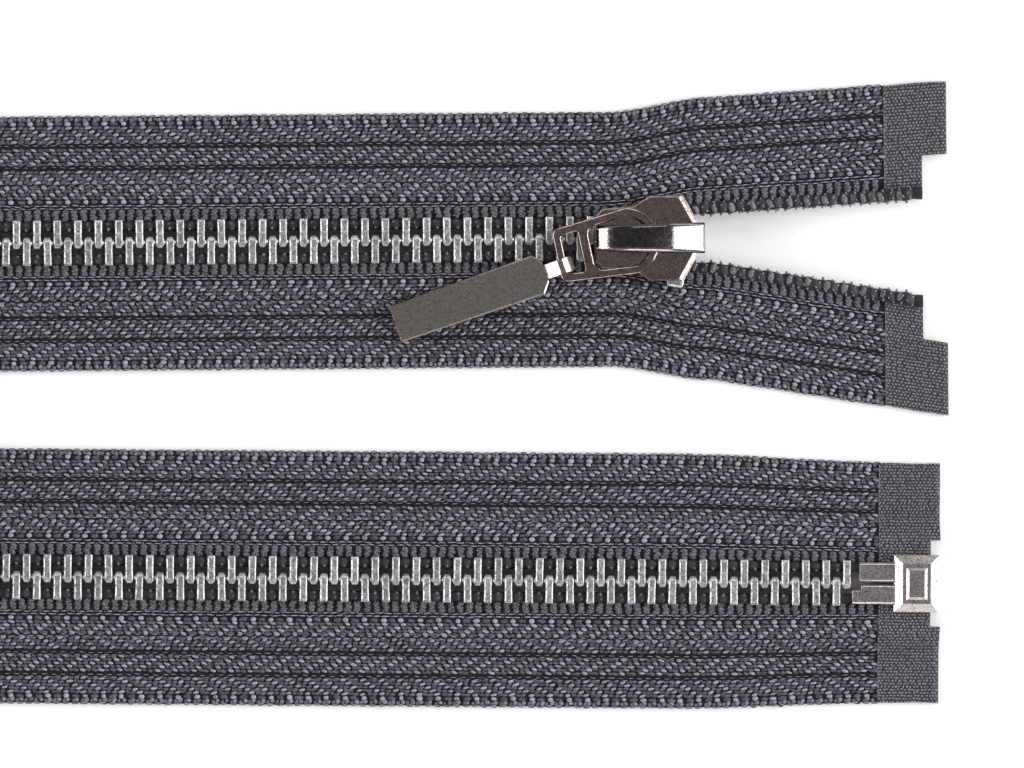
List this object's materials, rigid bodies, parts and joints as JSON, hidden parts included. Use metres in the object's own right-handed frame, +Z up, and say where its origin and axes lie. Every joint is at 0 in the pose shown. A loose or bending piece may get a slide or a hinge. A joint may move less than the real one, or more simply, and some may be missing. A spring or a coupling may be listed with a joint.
{
  "type": "open-end zipper",
  "caption": "Separating metal zipper laid in a U: two woven tapes, meshed teeth, lockable slider with ring and tab, retainer box and pins.",
  "frame": {"origin": "on the surface that the zipper lies on, under the middle of its bounding box", "axes": "+X from the standing turn towards the two free ends, +Y towards the arm with the slider, +Z up, out of the front face"},
  "size_m": [0.2282, 0.0792, 0.0322],
  "materials": {
    "tape": "matt woven polyester, dark slate grey",
    "cord": "matt braided cord, darker than the tape",
    "teeth": "tumbled antique nickel",
    "slider": "polished black nickel",
    "pull": "polished black nickel, brushed on the tab",
    "lock": "bright spring steel",
    "film": "stiff translucent film fused on the tape",
    "end_fittings": "polished gunmetal"
  },
  "bodies": {
    "chain_and_tapes": {"left_tape_upper": "tape", "left_tape_loop": "tape", "left_tape_lower": "tape", "left_cord_upper": "cord", "left_cord_loop": "cord", "left_cord_lower": "cord", "left_teeth_upper": "teeth", "left_teeth_loop": "teeth", "left_teeth_lower": "teeth", "left_bottom_film": "film", "right_tape_upper": "tape", "right_tape_loop": "tape", "right_tape_lower": "tape", "right_cord_upper": "cord", "right_cord_loop": "cord", "right_cord_lower": "cord", "right_teeth_upper": "teeth", "right_teeth_loop": "teeth", "right_teeth_lower": "teeth", "right_bottom_film": "film", "insertion_pin": "end_fittings", "box_pin": "end_fittings", "retainer_box": "end_fittings"},
    "left_opening": {"left_tape_top": "tape", "left_cord_top": "cord", "left_teeth_top": "teeth", "left_top_stop": "end_fittings", "left_top_film": "film"},
    "right_opening": {"right_tape_top": "tape", "right_cord_top": "cord", "right_teeth_top": "teeth", "right_top_stop": "end_fittings", "right_top_film": "film"},
    "slider": {"slider_body": "slider", "slider_cap": "slider", "lock_spring": "lock"},
    "pawl": {"lock_pawl": "lock"},
    "ring": {"pull_ring": "pull"},
    "tab": {"pull_tab": "pull"}
  },
  "joints": [
    {"name": "slider_travel", "type": "slide", "parent": "chain_and_tapes", "child": "slider", "axis": [-1, -0.0079, 0], "range_m": [0, 0.04608], "deforming": ["left_tape_top", "left_cord_top", "left_teeth_top", "right_tape_top", "right_cord_top", "right_teeth_top"]},
    {"name": "left_tape_opening", "type": "slide", "parent": "chain_and_tapes", "child": "left_opening", "axis": [-0.0079, 1, 0], "range_m": [0, 0.00336]},
    {"name": "right_tape_opening", "type": "slide", "parent": "chain_and_tapes", "child": "right_opening", "axis": [0.0079, -1, 0], "range_m": [0, 0.00336]},
    {"name": "ring_swing", "type": "hinge", "parent": "slider", "child": "ring", "pos_m": [0.07755, 0.01992, 0.0056], "axis": [-0.2062, 0.9785, 0], "range_deg": [0, 100]},
    {"name": "tab_swing", "type": "hinge", "parent": "ring", "child": "tab", "pos_m": [0.06639, 0.01619, 0.00501], "axis": [-0.3264, 0.9452, 0], "range_deg": [0, 110]},
    {"name": "lock_lift", "type": "slide", "parent": "slider", "child": "pawl", "axis": [0, 0, 1], "range_m": [0, 0.0005], "deforming": ["lock_spring"]}
  ],
  "couplings": [
    {"joint": "left_tape_opening", "follows": "slider_travel", "ratio": 0.0729},
    {"joint": "right_tape_opening", "follows": "slider_travel", "ratio": 0.0729},
    {"joint": "lock_lift", "follows": "ring_swing", "m_per_rad": 0.000286}
  ]
}
